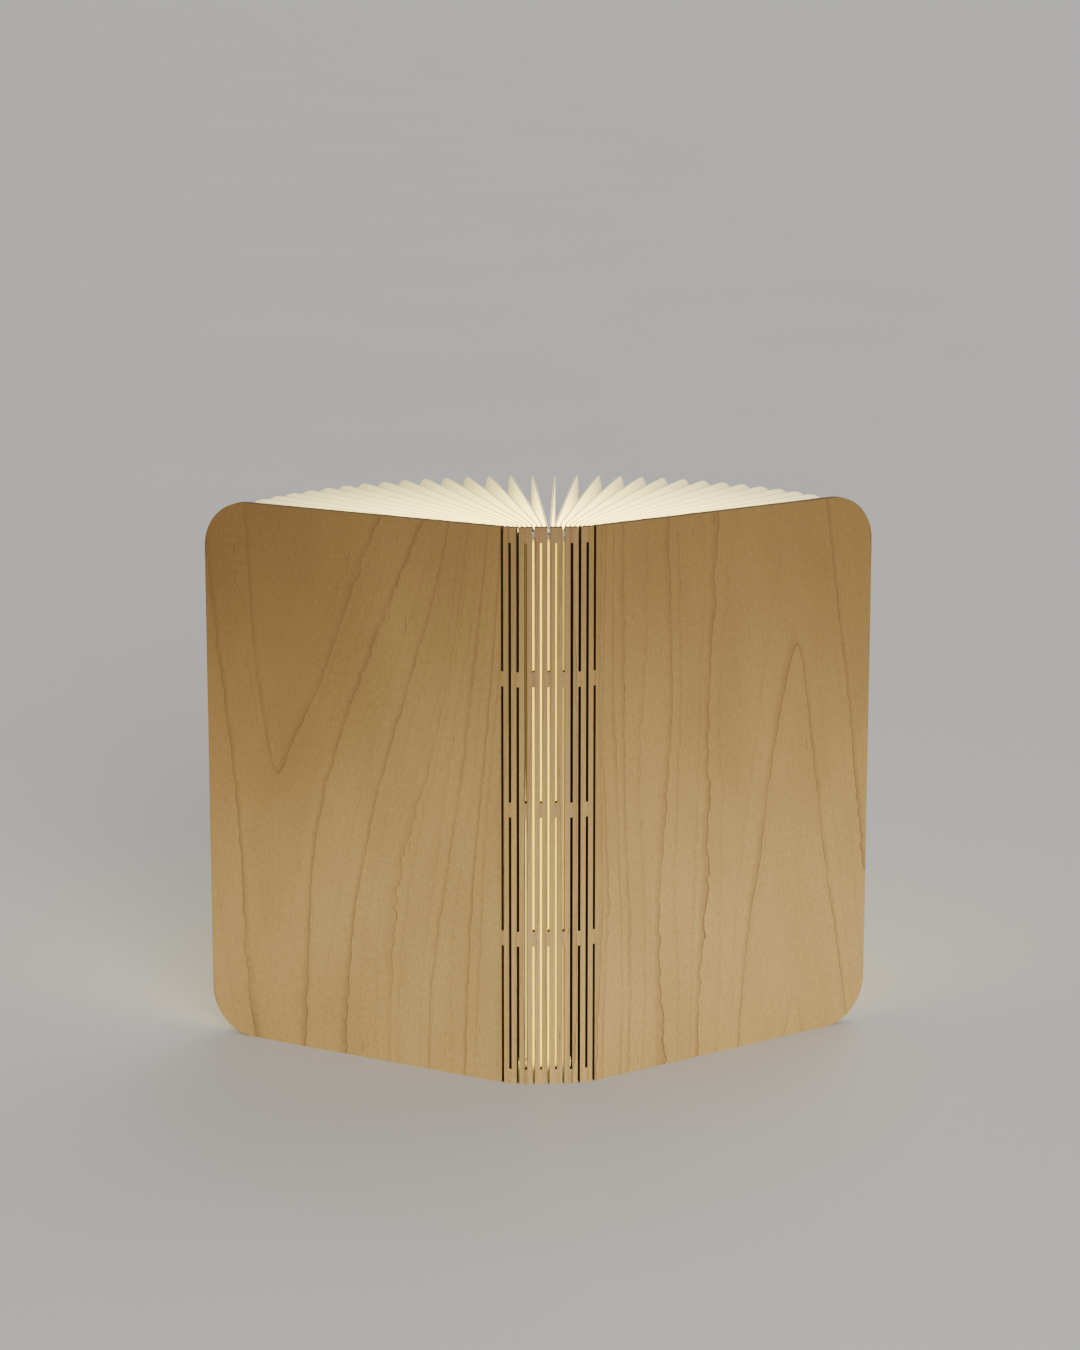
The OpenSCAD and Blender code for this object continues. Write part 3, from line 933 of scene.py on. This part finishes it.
def makeFinish(slot, look, glow):
    material, tree, shader = groupMaterial(slot + "_finish", unevenGroup, None, {
        "Base": look["base"], "Marks": look["marks"], "Scale": float(look["scale"]),
        "Stretch": float(look.get("stretch", 1)), "Amount": unevenLook["amount"],
        "Dull": look["dull"], "Shiny": look["shiny"]}, (look["bump"], unevenLook["bumpStrength"]))
    shader.inputs["Metallic"].default_value = float(look.get("metal", 0))
    if slot in glow["slots"]:
        parts = parted(tree, objectPlace(tree))
        off = maths(tree, "ABSOLUTE", less(tree, parts["X"], glow["middle"] * mm))
        middle = spread(tree, off, (0.0, glow["halfWidth"] * mm), 1.0, 0.0)
        ends = times(tree, spread(tree, parts["Z"], glow["lowEnd"]),
                     spread(tree, parts["Z"], glow["highEnd"]))
        front = spread(tree, parts["Y"], glow["frontDepth"], glow["sides"])
        tone = blendColour(tree, times(tree, middle, ends, front), glow["rim"], glow["bright"])
        lit = times(tree, ends, front, spread(tree, middle, glow["rimBand"]))
        plug(tree, blendColour(tree, lit, black, tone), shader.inputs["Emission Color"])
        shader.inputs["Emission Strength"].default_value = glow["strength"]
    return material


finishBySlot = {slot: makeFinish(slot, look, moduleGlow) for slot, look in finishes.items()}
finishBySlot["end_paper"] = endPaper
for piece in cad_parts.values():
    for place in piece.material_slots:
        slot = place.material.name.split(".")[0] if place.material else None
        if slot in finishBySlot:
            place.material = finishBySlot[slot]
print("module finished")


studio = {
    "air": (0.90, 0.90, 0.91, 1),
    "airStrength": 0.5,
    "floor": (0.62, 0.61, 0.59, 1),
    "floorPatch": (0.66, 0.65, 0.63, 1),
    "patchScale": 3.0,
    "patchBand": (0.3, 0.7),
    "floorRoughness": (0.55, 0.65),
    # metres from here on
    "floorSize": 60,
    "target": (0, 0.04, 0.1),
    # a sun keeps the floor evenly lit; its angle is how soft its shadow is
    "lights": {
        "key": {"kind": "SUN", "place": (0.30, -1.0, 0.55), "angle": 30, "power": 1.7,
                "tint": (1.0, 0.96, 0.90)},
        "back": {"kind": "SUN", "place": (0.4, 0.8, 1.3), "angle": 40, "power": 0.7,
                 "tint": (1.0, 0.98, 0.95)},
        "low": {"kind": "AREA", "place": (0.15, -0.80, 0.30), "size": 0.5, "spread": 80,
                "power": 0.5, "tint": (1.0, 0.96, 0.90)},
    },
}


def makeFloor(look):
    material, tree, shader = newMaterial("paleFloor")
    patch = noise(tree, objectPlace(tree), look["patchScale"])
    plug(tree, blendColour(tree, patch, look["floor"], look["floorPatch"]),
         shader.inputs["Base Color"])
    plug(tree, spread(tree, patch, look["patchBand"], *look["floorRoughness"]),
         shader.inputs["Roughness"])
    mesh = bpy.data.meshes.new("floor")
    size = look["floorSize"]
    mesh.from_pydata([(-size, -size, 0), (size, -size, 0), (size, size, 0), (-size, size, 0)], [],
                     [(0, 1, 2, 3)])
    mesh.materials.append(material)
    floor = bpy.data.objects.new("floor", mesh)
    bpy.context.scene.collection.objects.link(floor)


def makeLight(name, look, target):
    data = bpy.data.lights.new(name, look["kind"])
    data.energy = look["power"]
    data.color = look["tint"]
    if "angle" in look:
        data.angle = math.radians(look["angle"])
    else:
        data.size = look["size"]
        data.spread = math.radians(look["spread"])
    light = bpy.data.objects.new(name, data)
    light.visible_camera = False
    light.location = look["place"]
    aim = Vector(target) - Vector(look["place"])
    light.rotation_euler = aim.to_track_quat("-Z", "Y").to_euler()
    bpy.context.scene.collection.objects.link(light)


def makeStudio(look):
    world = bpy.data.worlds.new("studioAir")
    world.use_nodes = True
    air = world.node_tree.nodes["Background"]
    air.inputs["Color"].default_value = look["air"]
    air.inputs["Strength"].default_value = look["airStrength"]
    bpy.context.scene.world = world
    makeFloor(look)
    for name, light in look["lights"].items():
        makeLight(name, light, look["target"])


makeStudio(studio)
print("studio made")
